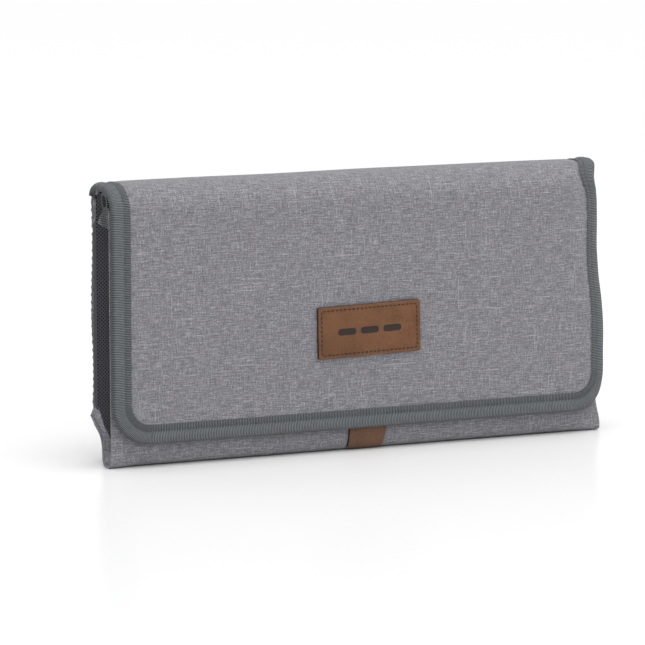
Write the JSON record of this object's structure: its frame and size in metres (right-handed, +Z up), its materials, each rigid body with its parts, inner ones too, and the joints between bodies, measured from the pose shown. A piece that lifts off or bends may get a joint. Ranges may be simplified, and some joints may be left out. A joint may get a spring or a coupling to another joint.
{
  "type": "portable changing pad",
  "caption": "Soft folding changing pad: a hinged flap closes a slim pouch with a strap, and a padded mat folds accordion-wise against its back.",
  "frame": {"origin": "middle of the underside of the standing, closed pad", "axes": "+X to the right seen from the front, -Y the front of the flap, +Z up"},
  "size_m": [0.34, 0.041, 0.1725],
  "materials": {
    "melange_fabric": "matte",
    "grosgrain_tape": "matte",
    "lining_fabric": "satin",
    "mesh_fabric": "matte",
    "stiffener_board": "matte",
    "foam": "matte",
    "leather": "satin",
    "snap_metal": "satin"
  },
  "bodies": {
    "pouch": {"bottom_lining": "lining_fabric", "bottom_stiffener": "stiffener_board", "hood_shell": "melange_fabric", "left_gusset_binding": "grosgrain_tape", "left_gusset_mesh": "mesh_fabric", "left_hood_binding": "grosgrain_tape", "left_lower_gusset": "melange_fabric", "pouch_back_lining": "lining_fabric", "pouch_back_shell": "melange_fabric", "pouch_back_stiffener": "stiffener_board", "pouch_bottom_shell": "melange_fabric", "pouch_front_lining": "lining_fabric", "pouch_front_shell": "melange_fabric", "pouch_front_stiffener": "stiffener_board", "pouch_mouth_binding": "grosgrain_tape", "right_gusset_binding": "grosgrain_tape", "right_gusset_mesh": "mesh_fabric", "right_hood_binding": "grosgrain_tape", "right_lower_gusset": "melange_fabric"},
    "flap_roof": {"flap_roof_lining": "lining_fabric", "flap_roof_shell": "melange_fabric", "left_roof_binding": "grosgrain_tape", "right_roof_binding": "grosgrain_tape"},
    "flap_front": {"flap_front_binding": "grosgrain_tape", "flap_front_foam": "foam", "flap_front_lining": "lining_fabric", "flap_front_shell": "melange_fabric", "leather_patch": "leather", "snap_stud": "snap_metal"},
    "strap": {"snap_socket": "snap_metal", "strap": "leather"},
    "mat_1": {"mat_1_core": "foam", "mat_1_left_binding": "grosgrain_tape", "mat_1_right_binding": "grosgrain_tape", "mat_1_sleeve": "melange_fabric"},
    "mat_2": {"mat_2_core": "foam", "mat_2_left_binding": "grosgrain_tape", "mat_2_right_binding": "grosgrain_tape", "mat_2_sleeve": "melange_fabric"},
    "mat_3": {"mat_3_core": "foam", "mat_3_left_binding": "grosgrain_tape", "mat_3_right_binding": "grosgrain_tape", "mat_3_sleeve": "melange_fabric"},
    "mat_4": {"mat_4_core": "foam", "mat_4_left_binding": "grosgrain_tape", "mat_4_right_binding": "grosgrain_tape", "mat_4_sleeve": "melange_fabric"},
    "mat_5": {"mat_5_core": "foam", "mat_5_left_binding": "grosgrain_tape", "mat_5_right_binding": "grosgrain_tape", "mat_5_sleeve": "melange_fabric"}
  },
  "joints": [
    {"name": "flap_hinge", "type": "hinge", "parent": "pouch", "child": "flap_roof", "pos_m": [0, 0.0209, 0.1642], "axis": [-1, 0, 0], "range_deg": [0, 175]},
    {"name": "flap_crease", "type": "hinge", "parent": "flap_roof", "child": "flap_front", "pos_m": [0, -0.0202, 0.1555], "axis": [-1, 0, 0], "range_deg": [0, 150]},
    {"name": "strap_hinge", "type": "hinge", "parent": "pouch", "child": "strap", "pos_m": [0, -0.01445, 0.0015], "axis": [1, 0, 0], "range_deg": [0, 90]},
    {"name": "mat_hinge_1", "type": "hinge", "parent": "pouch", "child": "mat_1", "pos_m": [0, 0.00745, 0.0325], "axis": [-1, 0, 0], "range_deg": [0, 103.4]},
    {"name": "mat_hinge_2", "type": "hinge", "parent": "mat_1", "child": "mat_2", "pos_m": [0, 0.00985, 0.161], "axis": [-1, 0, 0], "range_deg": [-193.41, 0]},
    {"name": "mat_hinge_3", "type": "hinge", "parent": "mat_2", "child": "mat_3", "pos_m": [0, 0.01225, 0.0325], "axis": [-1, 0, 0], "range_deg": [0, 180.01]},
    {"name": "mat_hinge_4", "type": "hinge", "parent": "mat_3", "child": "mat_4", "pos_m": [0, 0.01465, 0.161], "axis": [-1, 0, 0], "range_deg": [-180.01, 0]},
    {"name": "mat_hinge_5", "type": "hinge", "parent": "mat_4", "child": "mat_5", "pos_m": [0, 0.01705, 0.0325], "axis": [-1, 0, 0], "range_deg": [0, 180.01]}
  ],
  "couplings": [
    {"joint": "strap_hinge", "follows": "flap_crease", "ratio": 0.6},
    {"joint": "mat_hinge_2", "follows": "mat_hinge_1", "ratio": -1.8704},
    {"joint": "mat_hinge_3", "follows": "mat_hinge_1", "ratio": 1.7408},
    {"joint": "mat_hinge_4", "follows": "mat_hinge_1", "ratio": -1.7408},
    {"joint": "mat_hinge_5", "follows": "mat_hinge_1", "ratio": 1.7408}
  ]
}
